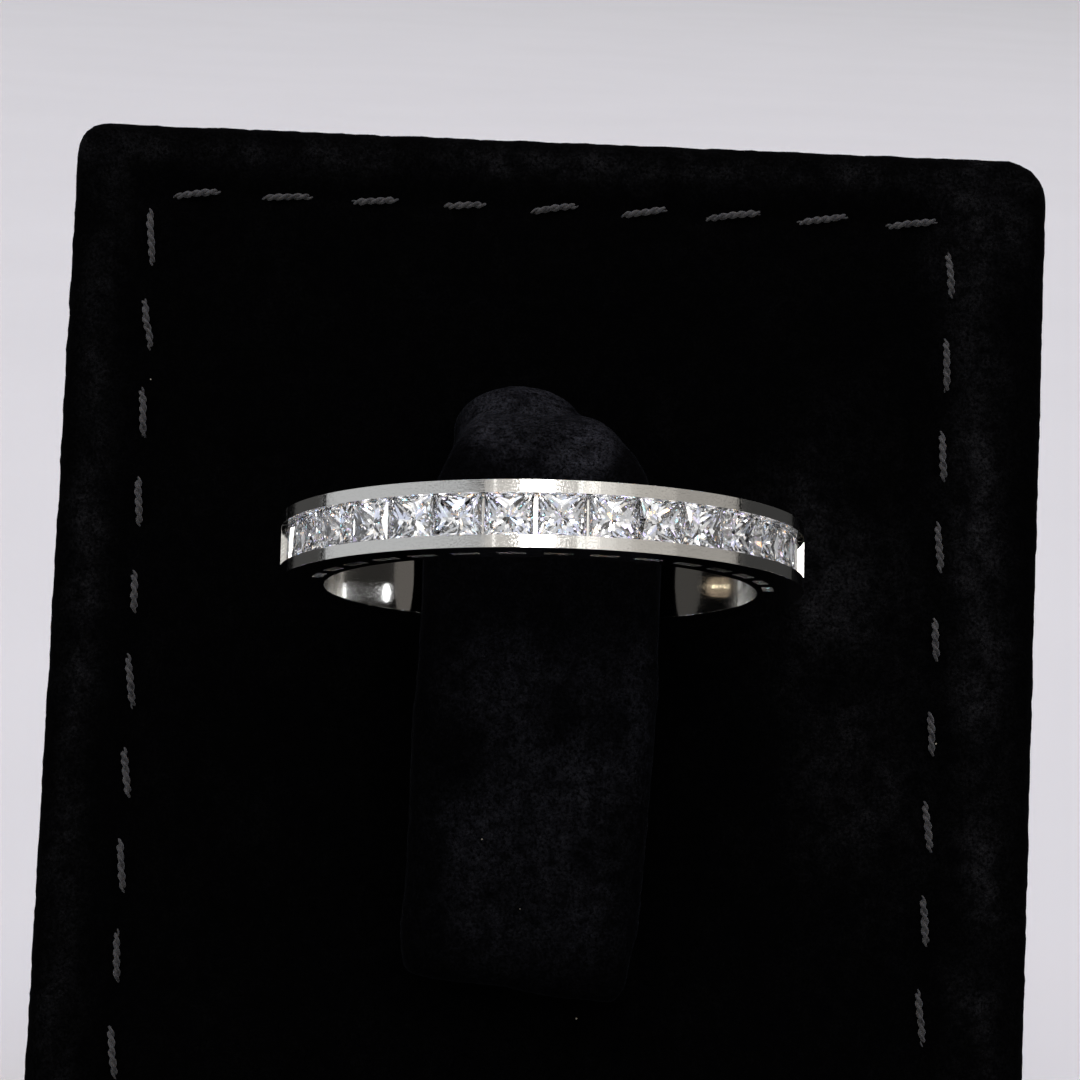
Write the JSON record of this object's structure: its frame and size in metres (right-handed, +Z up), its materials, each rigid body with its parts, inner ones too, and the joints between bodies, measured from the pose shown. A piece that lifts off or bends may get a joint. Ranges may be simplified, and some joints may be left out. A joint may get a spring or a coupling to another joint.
{
  "type": "cubic zirconia band ring on a display stand",
  "caption": "Channel-set band ring of square princess-cut stones in polished white metal, held on the padded tongue of a small black velvet easel stand.",
  "frame": {"origin": "middle of the level foot of the board, on the surface that the stand stands on", "axes": "+Z up, +X to the right as seen from the front, -Y out of the front of the board"},
  "size_m": [0.044, 0.0452, 0.0509],
  "materials": {
    "white_metal": "mirror-polished white metal",
    "cut_stone": "colourless faceted cubic zirconia",
    "velvet": "short-pile black velvet",
    "covered_card": "stiff card covered with black suede cloth"
  },
  "bodies": {
    "root": {"band": "white_metal", "board": "velvet", "tongue": "velvet", "easel_leg": "covered_card", "stone_01": "cut_stone", "stone_02": "cut_stone", "stone_03": "cut_stone", "stone_04": "cut_stone", "stone_05": "cut_stone", "stone_06": "cut_stone", "stone_07": "cut_stone", "stone_08": "cut_stone", "stone_09": "cut_stone", "stone_10": "cut_stone", "stone_11": "cut_stone", "stone_12": "cut_stone", "stone_13": "cut_stone", "stone_14": "cut_stone", "stone_15": "cut_stone"}
  },
  "joints": []
}
